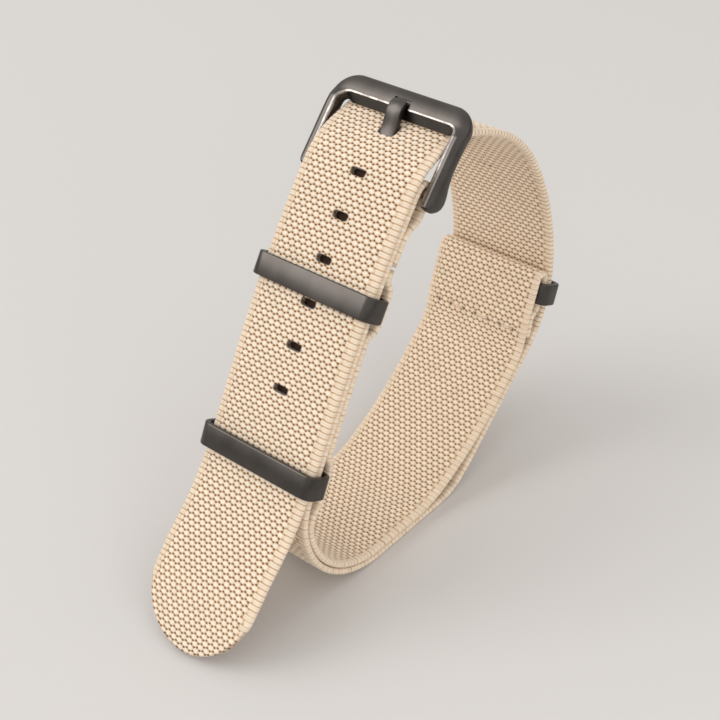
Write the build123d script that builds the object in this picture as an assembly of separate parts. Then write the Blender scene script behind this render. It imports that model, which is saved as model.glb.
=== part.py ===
"""Nato watch strap of woven webbing, buckled into a wrist loop that stands on its lower run.

The loop is drawn in the X-Z plane and is strap_width across, along Y. Each strap follows a lane: runs
and tangent bends, walked clockwise as seen from the near side. The long strap's lane goes from the free
tip up the tail, over the top, down the back, along the ground and up again under the tail to the pin.
Depth in a lane counts from its outer face inwards, to the right of the walk.
"""
import os
from math import acos, asin, atan2, cos, degrees, hypot, radians, sin

from build123d import *

os.makedirs("parts", exist_ok=True)

# Webbing
strap_width = 20.0
web = 1.0                       # thickness of one layer
lay_gap = 0.1                   # between two layers that lie on each other

# Lane of the long strap, from the free tip: radius of each bend, and its turn in degrees
tip_lift = 1.05                 # height of the tip's outer corner above the ground
tip_heading = 55.0
tail_end_radius = 70.0
tail_end_turn = -14.0
tail_lift_radius = 43.0
tail_lift_turn = 17.0
tail_run = 14.8
crown_radius = 180.0
crown_turn = -8.8
pin_bend_radius = 12.5
pin_bend_turn = -36.0
window_run = 3.3
bar_bend_radius = 6.0
bar_bend_turn = -31.0
back_radius = 45.0
back_turn = -10.0
shoulder_radius = 22.0
shoulder_turn = -33.6
side_radius = 40.3
side_turn = -30.0
heel_radius = 19.5
heel_turn = -48.8
rise_radius = 37.0
rise_turn = -6.5
toe_radius = 9.5
front_radius = 15.5
front_turn = -86.0
front_upper_radius = 11.0

# Holes punched in the tail
hole_length = 1.25              # along the strap
hole_width = 2.5                # across the strap
hole_first = 40.8               # from the tip to the first hole
hole_pitch = 6.5
hole_count = 12

# Spring bar
barrel_radius = 0.75
barrel_bore = 0.5
barrel_lip_bore = 0.42
barrel_lip = 0.3                # length of the turned-in end
barrel_end_gap = 0.15           # from each barrel end to the buckle arm
plunger_radius = 0.46
plunger_shank = 3.2             # its thick part, behind the lip
pivot_radius = 0.38
pivot_reach = 1.2               # how far a pivot stands into its arm
spring_radius = 0.44
spring_bore = 0.28
pin_along = 2.0                 # from the end of the crown to the pin, along the tail

# Fold of the long strap round the spring bar
fold_gap = 0.06                 # webbing to barrel
flap_open = 2.6                 # where the flap still stands off the strap
flap_close_radius = 4.0
flap_sewn = 3.2                 # where it lies flat and is sewn

# Buckle frame, in side view: along its arms from the pin, and outwards
arm_heading = 46.0
arm_width = 1.9
arm_clear = 0.4                 # arm to the webbing's edge
arm_top = 1.2
arm_top_length = 8.7
arm_under = 1.1
arm_under_start = 3.4
arm_under_length = 6.8
eye_radius = 2.2
eye_end_angle = -48.0           # where the eye's round end runs into the arm's underside
bar_start = 9.9
bar_length = 3.0
bar_top_drop = 0.7              # inner top edge of the bar, below the arm tops
bar_tip_drop = 1.35             # far top edge of the bar, below the arm tops
bar_under = 1.45
bar_nose = 0.6                  # how far the bar's ends slope
frame_inner_round = 1.6
frame_outer_round = 3.2
frame_edge_round = 0.45
pivot_hole_radius = 0.45
pivot_hole_depth = 1.3

# Tongue
tongue_width = 2.6
tongue_thick = 0.9
tongue_reach = 11.2             # pin to tip
tongue_rise = 0.35              # its middle, outwards of the pin
tongue_eye_gap = 0.05
tongue_eye_wall = 0.65
tongue_clear = 0.15             # all round it, where it passes through webbing
tongue_play_angle = 3.0         # degrees that it lifts, tongue and frame together
tongue_seat = 0.06              # tongue to its notch in the bar
notch_clear = 0.2               # notch beyond the tongue's tip and sides

# Keepers: three alike flat-wire rings
ring_clear = 0.4                # to the webbing's edges
ring_spare = 1.1                # inside depth, beyond two thicknesses of webbing
ring_wire = 0.8
ring_strip = 3.5                # along the strap
ring_round = 1.7
ring_edge = 0.12
upper_at = 56.4                 # along the long strap's lane, to the ring's middle
upper_lift = 0.25               # ring's outer bar above the tail
lower_at = 30.1
lower_lift = 0.5
lower_tilt_angle = 3.2          # degrees, against the tail beside it
pocket_gap = 0.16               # webbing to a ring's bar in its pocket
pocket_spare = 0.3              # pocket beyond the bar, each way along the strap
pocket_radius = 1.5             # of the bends that lead in and out
pocket_lead_radius = 5.0        # of the bend that leads into the lower pocket

# Short strap: lane from the fold at the end keeper, walked the same way
end_bar_at = 5.45               # end keeper's inner bar, along the long strap from its heel bend's start
end_stand = 0.62                # the fold's outer face to the long strap, beside the bar
end_tilt_angle = -7.5           # of the fold, against the long strap beside it
end_fold_gap = 0.16             # webbing to the ring's bar
end_flap_radius = 1.6
end_bulge_radius = 7.0
end_bulge_turn = 6.0
end_sewn = 2.6
end_waist_radius = 9.0
end_spread_angle = 0.2          # of the run below the fold, against the long strap's run beside it
belly_radius = 60.0
belly_turn = -16.0
landing_radius = 20.0
short_end_gap = 0.5             # between the ends of the short strap and of the flap

# Stitching: running stitches across the strap
thread_radius = 0.2
thread_clear = 0.03
stitch_pitch = 2.5
stitch_count = 7
stitch_inset = 1.1              # from a layer's end to its row of stitches

layer = web + lay_gap
half_width = strap_width / 2
ring_width = strap_width + 2 * (ring_clear + ring_wire)
ring_depth = 2 * (ring_wire + web) + ring_spare
window_half = half_width + arm_clear
frame_half = window_half + arm_width
over = 2 * strap_width          # overrun of cuts


def walk(x, z, heading, length, turn):
    """Where a run or bend of this length and turn ends, with its heading there."""
    half = radians(turn) / 2
    chord = length * (sin(half) / half if half else 1)
    way = radians(heading) + half
    return x + chord * cos(way), z + chord * sin(way), heading + turn


def beside(x, z, heading, depth, across=0):
    """Point at a depth beside a place on a lane."""
    return Vector(x + depth * sin(radians(heading)), across, z - depth * cos(radians(heading)))


class Lane:
    """Runs and bends from a start point. A span is its start's x, z and heading, its length and turn."""

    def __init__(self, x, z, heading):
        self.x = x
        self.z = z
        self.heading = heading
        self.length = 0
        self.spans = []

    def run(self, length, turn=0):
        self.spans.append((self.x, self.z, self.heading, length, turn))
        self.x, self.z, self.heading = walk(self.x, self.z, self.heading, length, turn)
        self.length += length

    def bend(self, radius, turn):
        self.run(radius * abs(radians(turn)), turn)

    def sidestep(self, inwards, radius):
        """Two opposite bends that bring the lane further in, or out if inwards is negative."""
        turn = degrees(acos(1 - abs(inwards) / (2 * radius)))
        turn = -turn if inwards > 0 else turn
        self.bend(radius, turn)
        self.bend(radius, -turn)

    def change_ring(self, centre, to_radius, radius):
        """Two opposite bends that bring the lane from one circle about centre to another."""
        reach = hypot(centre.X - self.x, centre.Z - self.z)
        out = 1 if to_radius > reach else -1
        first = reach + out * radius
        second = to_radius - out * radius
        both = 2 * radius
        at_first = degrees(acos((first ** 2 + both ** 2 - second ** 2) / (2 * first * both)))
        at_second = degrees(acos((second ** 2 + both ** 2 - first ** 2) / (2 * second * both)))
        heading = radians(self.heading)
        inside = (centre.X - self.x) * sin(heading) - (centre.Z - self.z) * cos(heading)
        way = out if inside > 0 else -out
        if out > 0:
            at_second = 180 - at_second
        else:
            at_first = 180 - at_first
        self.bend(radius, way * at_first)
        self.bend(radius, -way * at_second)

    def at(self, along):
        """Place and heading at a distance along the lane."""
        for x, z, heading, length, turn in self.spans:
            if along <= length:
                break
            along -= length
        return walk(x, z, heading, along, turn * along / length)

    def point(self, along, depth=0):
        return beside(*self.at(along), depth)

    def frame(self, along, depth=0, tilt=0):
        """Plane across the lane: x runs across the strap, y outwards and z along."""
        heading = radians(self.at(along)[2] + tilt)
        return Plane(self.point(along, depth), x_dir=(0, 1, 0), z_dir=(cos(heading), 0, sin(heading)))

    def beside_crown(self, x, z):
        """Distance along the tail, under its crown, of the place beside a point."""
        way = atan2(z - self.crown_centre.Z, x - self.crown_centre.X)
        start = radians(self.at(self.crown_start)[2] + 90)
        return self.crown_start + crown_radius * (start - way)

    def ribbon(self):
        """Webbing along the whole lane."""
        edges = [Line(self.point(0), self.point(0, web))]
        for x, z, heading, length, turn in self.spans:
            for depth in (0, web):
                places = [walk(x, z, heading, length * share, turn * share) for share in (0, 1 / 2, 1)]
                start, middle, end = [beside(*place, depth) for place in places]
                edges.append(ThreePointArc(start, middle, end) if turn else Line(start, end))
        last = beside(self.x, self.z, self.heading, 0)
        edges.append(Line(last, beside(self.x, self.z, self.heading, web)))
        return Pos(0, -half_width, 0) * extrude(Face(Wire(edges)), strap_width, dir=(0, 1, 0))


def turned_back(lane):
    """The same lane, walked the other way."""
    back = Lane(lane.x, lane.z, lane.heading - 180)
    for x, z, heading, length, turn in reversed(lane.spans):
        back.run(length, -turn)
    return back


def long_lane():
    """Lane of the long strap, with the places along it that other pieces follow."""
    lane = Lane(0, tip_lift, tip_heading)
    lane.bend(tail_end_radius, tail_end_turn)
    lane.bend(tail_lift_radius, tail_lift_turn)
    lane.tail_start = lane.length
    lane.run(tail_run)
    tail_top = beside(lane.x, lane.z, lane.heading, layer)
    tail_heading = lane.heading
    lane.crown_start = lane.length
    lane.crown_centre = beside(lane.x, lane.z, lane.heading, crown_radius)
    lane.bend(crown_radius, crown_turn)
    lane.pin_at = lane.length + pin_along
    lane.bend(pin_bend_radius, pin_bend_turn)
    lane.run(window_run)
    lane.bend(bar_bend_radius, bar_bend_turn)
    lane.bend(back_radius, back_turn)
    lane.bend(shoulder_radius, shoulder_turn)
    lane.bend(side_radius, side_turn)
    lane.heel_start = lane.length
    lane.bend(heel_radius, heel_turn)
    lane.heel_heading = lane.heading
    # A straight run brings the lane down until its next two bends end level with the ground
    toe_turn = -180 - lane.heading - rise_turn
    fall = Lane(0, lane.z, lane.heading)
    fall.bend(rise_radius, rise_turn)
    fall.bend(toe_radius, toe_turn)
    lane.run(-fall.z / sin(radians(lane.heading)))
    lane.bend(rise_radius, rise_turn)
    lane.bend(toe_radius, toe_turn)
    # Along the ground, up the front and under the tail, to lie one layer inside it
    front_upper_turn = tail_heading - 180 - front_turn
    climb = Lane(lane.x, 0, -180)
    climb.bend(front_radius, front_turn)
    climb.bend(front_upper_radius, front_upper_turn)
    under_run = (tail_top.Z - climb.z) / sin(radians(tail_heading))
    lane.run(climb.x + under_run * cos(radians(tail_heading)) - tail_top.X)
    lane.front_start = lane.x
    lane.front_at = lane.length
    lane.bend(front_radius, front_turn)
    lane.front_top = lane.length
    lane.bend(front_upper_radius, front_upper_turn)
    lane.run(under_run)
    lane.bend(crown_radius - layer, crown_turn)
    pin_turn = degrees(pin_along / pin_bend_radius)
    lane.bend(pin_bend_radius - layer, -pin_turn)
    # Round the spring bar, and back as a flap inside the layer that it came from
    lane.bend(web + fold_gap + barrel_radius, pin_turn - 180)
    open_radius = hypot(lane.x - lane.crown_centre.X, lane.z - lane.crown_centre.Z)
    sewn_radius = crown_radius - 2 * layer - web
    lane.bend(open_radius, degrees(flap_open / open_radius))
    lane.change_ring(lane.crown_centre, sewn_radius, flap_close_radius)
    lane.bend(sewn_radius, degrees(flap_sewn / sewn_radius))
    return lane


def short_lane(long):
    """Lane of the short strap: flap, fold round the end keeper's bar, and up under the tail."""
    bar_to_face = ring_wire / 2 + end_fold_gap
    end_bar, end_heading = end_bar_place(long)
    start = beside(end_bar.X, end_bar.Z, end_heading, bar_to_face)
    bar_run = ring_strip / 2 + pocket_spare
    flap = Lane(start.X, start.Z, end_heading + 180)
    flap.run(bar_run)
    flap.bend(bar_to_face, -180)
    flap.run(2 * bar_run)
    flap.sidestep(2 * bar_to_face - lay_gap, end_flap_radius)
    flap_step = flap.length - (3 * bar_run + bar_to_face * radians(180))
    flap.bend(end_bulge_radius - lay_gap, end_bulge_turn)
    flap.run(end_sewn)
    lane = turned_back(flap)
    lane.run(bar_run + flap_step)
    lane.bend(end_bulge_radius, end_bulge_turn)
    lane.run(end_sewn)
    lane.end_row = lane.length - end_sewn / 2
    lane.bend(end_waist_radius, long.heel_heading + end_spread_angle - lane.heading)
    # Down to lie on the long strap's lower run
    landing_turn = -180 - lane.heading - belly_turn
    fall = Lane(0, lane.z, lane.heading)
    fall.bend(belly_radius, belly_turn)
    fall.bend(landing_radius, landing_turn)
    lane.run((layer - fall.z) / sin(radians(lane.heading)))
    lane.bend(belly_radius, belly_turn)
    lane.bend(landing_radius, landing_turn)
    lane.run(lane.x - long.front_start)
    lane.bend(front_radius - layer, front_turn)
    # Over the lower keeper's bar in a pocket, whose far face lies pocket_in deeper than the sewn strap
    tail_heading = tip_heading + tail_end_turn + tail_lift_turn
    lead_angle = radians(lane.heading + 360 - tail_heading)
    pocket_in = pocket_depth(lower_lift)
    drop = (front_upper_radius - layer) * (1 - cos(lead_angle)) - pocket_in
    both = pocket_lead_radius + pocket_radius
    lead = acos((pocket_lead_radius * cos(lead_angle) + pocket_radius + drop) / both)
    lane.bend(pocket_lead_radius, -degrees(lead_angle + lead))
    lane.bend(pocket_radius, degrees(lead))
    tail_way = Vector(cos(radians(tail_heading)), 0, sin(radians(tail_heading)))
    tail_point = long.point(long.tail_start)
    reached = long.tail_start + (Vector(lane.x, 0, lane.z) - tail_point).dot(tail_way)
    pocket_end = lower_at + ring_strip / 2 + pocket_spare
    lane.run(pocket_end - reached)
    before = Vector(lane.x, 0, lane.z)
    lane.sidestep(-pocket_in, pocket_radius)
    stepped = pocket_end + (Vector(lane.x, 0, lane.z) - before).dot(tail_way)
    lane.lower_row = stepped + stitch_inset
    lane.run(long.crown_start - stepped)
    # Over the upper keeper's bar, where the lane follows the crown
    sewn_radius = crown_radius - 2 * layer
    pocket_in = pocket_depth(upper_lift)
    pocket_half = ring_strip / 2 + pocket_spare
    ramp = Lane(0, 0, 0)
    ramp.sidestep(pocket_in, pocket_radius)
    ramp_start = upper_at - pocket_half - ramp.x
    lane.upper_row = ramp_start - stitch_inset
    lane.bend(sewn_radius, -degrees((ramp_start - long.crown_start) / crown_radius))
    lane.change_ring(long.crown_centre, sewn_radius - pocket_in, pocket_radius)
    lane.bend(sewn_radius - pocket_in, -degrees(2 * pocket_half / crown_radius))
    lane.change_ring(long.crown_centre, sewn_radius, pocket_radius)
    rest = long.beside_crown(long.x, long.z) - short_end_gap - long.beside_crown(lane.x, lane.z)
    lane.top_row = long.beside_crown(lane.x, lane.z) + rest / 2
    lane.bend(sewn_radius, -degrees(rest / crown_radius))
    return lane


def end_bar_place(long):
    """Middle of the end keeper's inner bar, in the fold beside the long strap, and the fold's heading."""
    at = long.heel_start + end_bar_at
    depth = web + end_stand + web + end_fold_gap + ring_wire / 2
    return long.point(at, depth), long.at(at)[2] + end_tilt_angle


def pocket_depth(lift):
    """How much deeper than the sewn strap a pocket lies, to pass over a ring's inner bar."""
    return ring_depth - ring_wire - lift + pocket_gap - 2 * layer


def slot(lane, along, depth_from, depth_to):
    """One punched hole through a layer of webbing."""
    cut = extrude(Plane.XZ * SlotOverall(hole_width, hole_length), depth_to - depth_from)
    return lane.frame(along, depth_from) * cut


def stitch_row(lane, along, depth_from, depth_to, clear=0):
    """One thread that runs to and fro through the layers, its stitches sunk flush into both faces."""
    first = -stitch_pitch * (stitch_count - 1) / 2
    near = -thread_radius
    far = depth_from - depth_to + thread_radius
    corners = [(first, near + clear)]
    for index in range(stitch_count):
        ends = (far, near) if index % 2 else (near, far)
        corners += [(first + index * stitch_pitch, y) for y in ends]
    corners[1:2] = []
    corners[-1] = (-first, far - clear)
    path = Polyline(*corners)
    return lane.frame(along, depth_from) * sweep(Plane(path ^ 0) * Circle(thread_radius + clear), path,
                                                 transition=Transition.RIGHT)


def ring(centre):
    """A keeper: one flat wire bent into a rounded rectangle."""
    inner = RectangleRounded(ring_width - 2 * ring_wire, ring_depth - 2 * ring_wire, ring_round - ring_wire)
    band = extrude(RectangleRounded(ring_width, ring_depth, ring_round) - inner, ring_strip / 2, both=True)
    ends = band.faces().filter_by(Axis.Z)
    return centre * fillet(ends.edges(), ring_edge)


def buckle_frame():
    """Bar and two arms, curved as one, with a blind hole in each arm's eye for the spring bar."""
    eye_top = 180 - degrees(asin(arm_top / eye_radius))
    eye_middle = (eye_top + 360 + eye_end_angle) / 2
    bar_end = bar_start + bar_length
    corners = [
        (arm_under_start, -arm_under),
        (arm_under_length, -arm_under),
        (bar_start - bar_nose, -bar_under),
        (bar_end - bar_nose, -bar_under),
        (bar_end, arm_top - bar_tip_drop),
        (bar_start, arm_top - bar_top_drop),
        (arm_top_length, arm_top),
    ]
    ways = [radians(turn) for turn in (eye_top, eye_middle, eye_end_angle)]
    start, middle, end = [(eye_radius * cos(way), eye_radius * sin(way)) for way in ways]
    outline = Wire([ThreePointArc(start, middle, end), *Polyline(end, *corners, start).edges()])
    body = extrude(Face(outline), frame_half, both=True)
    body = fillet(body.faces().filter_by(Axis.Z).edges(), frame_edge_round)
    plan = RectangleRounded(over, 2 * frame_half, frame_outer_round)
    body &= extrude(Plane.XZ * Pos(bar_end - over / 2) * plan, over, both=True)
    window = RectangleRounded(over, 2 * window_half, frame_inner_round)
    body -= extrude(Plane.XZ * Pos(bar_start - over / 2) * window, over, both=True)
    for side in (-1, 1):
        hole = Cylinder(pivot_hole_radius, pivot_hole_depth)
        body -= Pos(0, 0, side * (window_half + pivot_hole_depth / 2)) * hole
    notch_floor = tongue_rise - tongue_thick / 2 - tongue_seat
    notch = Box(over, over, tongue_width + 2 * notch_clear)
    body -= Pos(tongue_reach + notch_clear - over / 2, notch_floor + over / 2) * notch
    return body


def tongue(clear=0):
    """Flat tongue with an eye round the barrel; with a clearance, the room it needs in the webbing."""
    width = tongue_width + 2 * clear
    eye = Cylinder(barrel_radius + tongue_eye_gap + tongue_eye_wall + clear, width)
    length = tongue_reach + clear
    blade = Pos(0, tongue_rise) * Box(2 * length, tongue_thick + 2 * clear, width)
    blade &= Plane.XZ * extrude(SlotOverall(2 * length, width), over, both=True)
    blade &= Pos(over / 2) * Box(over, over, over)
    return eye + blade


def spring_bar():
    """Barrel, two alike plungers and the spring between them, along Z."""
    barrel_half = window_half - barrel_end_gap
    barrel = Cylinder(barrel_radius, 2 * barrel_half) - Cylinder(barrel_lip_bore, over)
    barrel -= Cylinder(barrel_bore, 2 * (barrel_half - barrel_lip))
    shoulder = barrel_half - barrel_lip - thread_clear
    pivot_end = window_half + pivot_reach
    shank = Pos(0, 0, shoulder - plunger_shank / 2) * Cylinder(plunger_radius, plunger_shank)
    pivot = Pos(0, 0, (shoulder + pivot_end) / 2) * Cylinder(pivot_radius, pivot_end - shoulder)
    plunger = shank + pivot
    spring_length = 2 * (shoulder - plunger_shank)
    spring = Cylinder(spring_radius, spring_length) - Cylinder(spring_bore, spring_length)
    return barrel, plunger, Rot(180, 0, 0) * plunger, spring


long = long_lane()
short = short_lane(long)
pin_place = long.point(long.pin_at, layer + web + fold_gap + barrel_radius)
pin = Plane(pin_place, x_dir=(cos(radians(arm_heading)), 0, sin(radians(arm_heading))), z_dir=(0, -1, 0))

pieces = {}
pieces["buckle_frame"] = pin * buckle_frame()
pieces["buckle_tongue"] = pin * (tongue() - Cylinder(barrel_radius + tongue_eye_gap, over))
barrel, near_plunger, far_plunger, spring = spring_bar()
pieces["spring_bar_barrel"] = pin * barrel
pieces["spring_bar_plunger_near"] = pin * near_plunger
pieces["spring_bar_plunger_far"] = pin * far_plunger
pieces["spring_bar_spring"] = pin * spring

# The rings' middles: under the tail by the lift and half a ring, or outwards from the end keeper's bar
half_ring = ring_depth / 2 - ring_wire
pieces["keeper_upper"] = ring(long.frame(upper_at, half_ring - upper_lift))
pieces["keeper_lower"] = ring(long.frame(lower_at, half_ring - lower_lift, lower_tilt_angle))
bar_to_middle = (ring_depth - ring_wire) / 2
end_bar, end_heading = end_bar_place(long)
end_middle = beside(end_bar.X, end_bar.Z, end_heading, -bar_to_middle)
end_way = radians(end_heading)
pieces["keeper_end"] = ring(Plane(end_middle, x_dir=(0, 1, 0), z_dir=(cos(end_way), 0, sin(end_way))))

# Rows of stitching: lane, place along it, and the depths of the two faces that show
fold_row = long.beside_crown(long.x, long.z) + stitch_inset
rows = {
    "stitching_buckle_fold": (long, fold_row, layer, 2 * layer + web),
    "stitching_short_top": (long, short.top_row, layer, 2 * layer + web),
    "stitching_keeper_upper": (long, short.upper_row, layer, 2 * layer + web),
    "stitching_keeper_lower": (long, short.lower_row, layer, 2 * layer + web),
    "stitching_front": (long, long.front_top - stitch_inset, 0, layer + web),
    "stitching_end_fold": (short, short.end_row, -layer, web),
}

long_strap = long.ribbon()
short_strap = short.ribbon()
# The free tip is a half circle in plan
tip = Box(over, over, over) - Rot(90, 0, 0) * Cylinder(half_width, over)
tip = tip & Pos(0, 0, -over / 2) * Box(over, over, over)
long_strap -= long.frame(half_width) * tip
for index in range(hole_count):
    long_strap -= slot(long, hole_first + index * hole_pitch, -lay_gap / 2, web + lay_gap / 2)
room = tongue(tongue_clear)
long_strap -= pin * (room + Rot(0, 0, tongue_play_angle) * room)
for name, (lane, along, depth_from, depth_to) in rows.items():
    pieces[name] = stitch_row(lane, along, depth_from, depth_to)
    groove = stitch_row(lane, along, depth_from, depth_to, thread_clear)
    long_strap -= groove
    short_strap -= groove
pieces["long_strap"] = long_strap
pieces["short_strap"] = short_strap

# Origin: on the ground, below the middle of everything
box = Compound(list(pieces.values())).bounding_box()
to_origin = Pos(-(box.min.X + box.max.X) / 2, 0, -box.min.Z)
for name, piece in pieces.items():
    export_step(to_origin * piece, f"parts/{name}.step")
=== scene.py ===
import math

import bmesh
import bpy
import numpy as np
from mathutils import Matrix, Vector


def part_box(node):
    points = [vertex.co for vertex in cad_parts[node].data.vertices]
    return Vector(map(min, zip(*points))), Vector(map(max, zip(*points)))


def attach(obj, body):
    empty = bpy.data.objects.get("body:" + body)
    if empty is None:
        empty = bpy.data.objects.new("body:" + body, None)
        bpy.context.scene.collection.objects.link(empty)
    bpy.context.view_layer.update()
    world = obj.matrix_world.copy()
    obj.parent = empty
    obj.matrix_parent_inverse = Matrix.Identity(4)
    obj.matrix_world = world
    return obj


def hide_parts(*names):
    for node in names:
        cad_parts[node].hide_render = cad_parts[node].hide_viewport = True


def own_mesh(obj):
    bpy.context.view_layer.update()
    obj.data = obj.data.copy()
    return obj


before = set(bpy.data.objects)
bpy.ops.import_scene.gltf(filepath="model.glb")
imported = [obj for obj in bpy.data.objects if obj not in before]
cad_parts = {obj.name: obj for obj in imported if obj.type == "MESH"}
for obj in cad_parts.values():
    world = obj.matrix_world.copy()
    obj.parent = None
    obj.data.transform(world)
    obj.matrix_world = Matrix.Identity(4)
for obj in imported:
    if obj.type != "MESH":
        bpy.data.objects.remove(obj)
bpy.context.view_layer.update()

MM = 0.001

# The photographer's table: a wide board under matt paint, in a pale and warm grey, that the strap just
# stands on. A large soft light hangs high on its left, a weak one fills in from the front, and the rest of
# the light is a bright room's. Only the metal mirrors the softbox that is wider than the key light.

CAMERA_PLACE = (-127.6, -124.8, 161.7)
CAMERA_RIGHT = (0.65712, -0.75137, -0.06038)
CAMERA_DOWN = (-0.4812, -0.35648, -0.80085)
CAMERA_AHEAD = (0.58021, 0.55531, -0.59581)
camera_data = bpy.data.cameras.new("camera")
camera_data.lens = 75
camera_data.sensor_width = 36
camera_data.clip_start = 0.01
camera = bpy.data.objects.new("camera", camera_data)
bpy.context.scene.collection.objects.link(camera)
camera_axes = Matrix((Vector(CAMERA_RIGHT), -Vector(CAMERA_DOWN), -Vector(CAMERA_AHEAD))).transposed()
camera.matrix_world = Matrix.Translation(Vector(CAMERA_PLACE) * MM) @ camera_axes.to_4x4()
bpy.context.scene.camera = camera


def linear(colour):
    """An sRGB hex colour as linear RGBA."""
    parts = [int(colour[i:i + 2], 16) / 255 for i in (1, 3, 5)]
    return (*[c / 12.92 if c <= 0.04045 else ((c + 0.055) / 1.055) ** 2.4 for c in parts], 1)


def add_node(tree, kind, settings=None, links=None):
    """A node of that kind with its attributes or input values set, and its inputs linked."""
    node = tree.nodes.new(kind)
    for key, value in (settings or {}).items():
        if isinstance(key, str) and hasattr(node, key):
            setattr(node, key, value)
        else:
            node.inputs[key].default_value = value
    for key, source in (links or {}).items():
        tree.links.new(source, node.inputs[key])
    return node


def new_finish(name, base, roughness, metallic=0):
    """A material with its Principled shader, and its node tree."""
    finish = bpy.data.materials.new(name)
    finish.use_nodes = True
    shader = finish.node_tree.nodes["Principled BSDF"]
    shader.inputs["Base Color"].default_value = linear(base)
    shader.inputs["Roughness"].default_value = roughness
    shader.inputs["Metallic"].default_value = metallic
    return finish, shader, finish.node_tree


def place_mesh(name, bm, body=None, replaces=(), smooth=True, scale=MM):
    """The bmesh as an object at the origin, carried by a body and standing for its CAD nodes."""
    bmesh.ops.scale(bm, vec=(scale, scale, scale), verts=bm.verts)
    mesh = bpy.data.meshes.new(name)
    bm.to_mesh(mesh)
    bm.free()
    mesh.polygons.foreach_set("use_smooth", np.full(len(mesh.polygons), smooth))
    piece = bpy.data.objects.new(name, mesh)
    bpy.context.scene.collection.objects.link(piece)
    if body:
        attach(piece, body)
    if replaces:
        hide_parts(*replaces)
    return piece


TABLE_HALF = 1800
TABLE_DROP = 0.02                    # from the strap's lowest point to the board
bm = bmesh.new()
bmesh.ops.create_grid(bm, x_segments=2, y_segments=2, size=1.0)
bmesh.ops.scale(bm, vec=(TABLE_HALF, TABLE_HALF, 1), verts=bm.verts)
bmesh.ops.translate(bm, vec=(0, 0, -TABLE_DROP), verts=bm.verts)
table = place_mesh("table_sweep", bm, smooth=False)
board, shader, tree = new_finish("matt_painted_board", "#D2D0CE", 0.9)
shader.inputs["Specular IOR Level"].default_value = 0.15
table.data.materials.append(board)


def soft_light(name, place, target, size, power, colour, matt=True, shiny=True):
    """A square area light at a place, aimed at a target, both in mm. It can skip matt or shiny things."""
    data = bpy.data.lights.new(name, "AREA")
    data.energy = power
    data.size = size * MM
    data.color = linear(colour)[:3]
    lamp = bpy.data.objects.new(name, data)
    bpy.context.scene.collection.objects.link(lamp)
    lamp.location = Vector(place) * MM
    lamp.rotation_euler = (Vector(target) - Vector(place)).to_track_quat("-Z", "Y").to_euler()
    lamp.visible_diffuse = matt
    lamp.visible_glossy = shiny


soft_light("key_softbox", (-430, 516, 630), (0, 0, 25), 600, 2.35, "#FFFCF8")
soft_light("fill_softbox", (-240, -380, 130), (0, 0, 20), 400, 0.75, "#FFFAF4", shiny=False)
soft_light("metal_softbox", (-440, 520, 600), (5, 0, 60), 700, 2.2, "#FFFCF8", matt=False)
world = bpy.data.worlds.new("bright_room")
bpy.context.scene.world = world
world.use_nodes = True
room = world.node_tree
sky_place = add_node(room, "ShaderNodeTexCoord")
sky_parts = add_node(room, "ShaderNodeSeparateXYZ", links={"Vector": sky_place.outputs["Generated"]})
sky = add_node(room, "ShaderNodeValToRGB", links={"Fac": sky_parts.outputs["Z"]})
sky.color_ramp.elements[0].position = 0.02
sky.color_ramp.elements[0].color = linear("#8A8784")
sky.color_ramp.elements[1].position = 0.4
sky.color_ramp.elements[1].color = linear("#FFFDFB")
room.links.new(sky.outputs["Color"], room.nodes["Background"].inputs["Color"])
room.nodes["Background"].inputs["Strength"].default_value = 0.92
bpy.context.scene.view_settings.view_transform = "Standard"

# The long strap: plain-woven nylon webbing, 20 mm wide and 1 mm thick, its selvedges turned by the weft.
# It runs from the free tip up the tail, over the top, round under itself and back, and folds round the bar.
# Its holes are punched hot, so that their rims are melted, sunk and a little brown, and the open holes'
# walls are painted darker still as painted shade.

WEB = 1.0                            # thickness
HALF_WIDTH = 10.0
EDGE_ROUND = 0.48
SEED_WIDTH = 1.15                    # from one float of the weave to the next, across the strap
SEED_ROW = 0.826                     # from one row of floats to the next
FLOAT_HALF = 0.575                   # half length of a float at its middle, along the strap
FLOAT_TAPER = 0.26                   # how much less that is at its sides
FLOAT_SLANT = 0.045                  # more on its one side and less on the other, as the yarn is twisted
FLOAT_FALL = 0.72                    # share of its height that a float loses towards its ends
FLOAT_SIDE_FALL = 0.3                # and towards its sides
RELIEF = 0.25                        # height of a float over the pits beside it
CREST_PROUD = 0.03                   # how far the floats' crests stand out of the plain slab
PIT_REACH = (0.17, 0.13)             # half size of the pits where three floats meet, across and along
PIT_OFFSET = 0.11                    # from the line between two rows to those pits
PIT_DEPTH = 0.7                      # share of the relief that a pit takes away
RIB_LONG = 1.8                       # how far the near selvedge's ribs reach in, on every other row
RIB_SHORT = 1.25                     # and on the rows between
FAR_RIBS = 0.75                      # length of the far selvedge's ribs beside them
RIB_START = 0.35                     # length over which a rib rises out of the weave
RIB_HALF = 0.435                     # half its width
GROOVE_HALF = 0.09                   # of the groove along its middle
UV_MM = 10                           # length that is one unit of the webbing's chart
FOLD_ROWS = 4                        # rows that a tight fold's outer face has more than its inner one
ROW_STEPS = 5                        # the mesh's steps per row of floats, at fineness 1
FLOAT_STEPS = 6                      # per float, across the strap
EDGE_STEPS = 6                       # round a rounded edge
SCORCH_AND_SHADE_REACH = 0.06                   # how far a hole's rim is darkened: scorched by the hot punch, and painted shade on the open holes' walls
SUNK_REACH = 0.22                    # and melted it down
TIP_MELT = 0.25                      # width of the melted rim round the tip
CUT_MELT = 0.3                       # and along the cut ends
MELT_DEPTH = 0.1
DIP_REACH = 0.45                     # radius of the dip round a needle hole
DIP_DEPTH = 0.16
DIP_SHADE_REACH = 0.34
SHADE_SPOT_MARGIN = 0.25                   # how far a spot of painted shade reaches past the hole above it
LONG_START = (-39.398, 1.05, 55.0)   # x, z and heading in degrees
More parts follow.
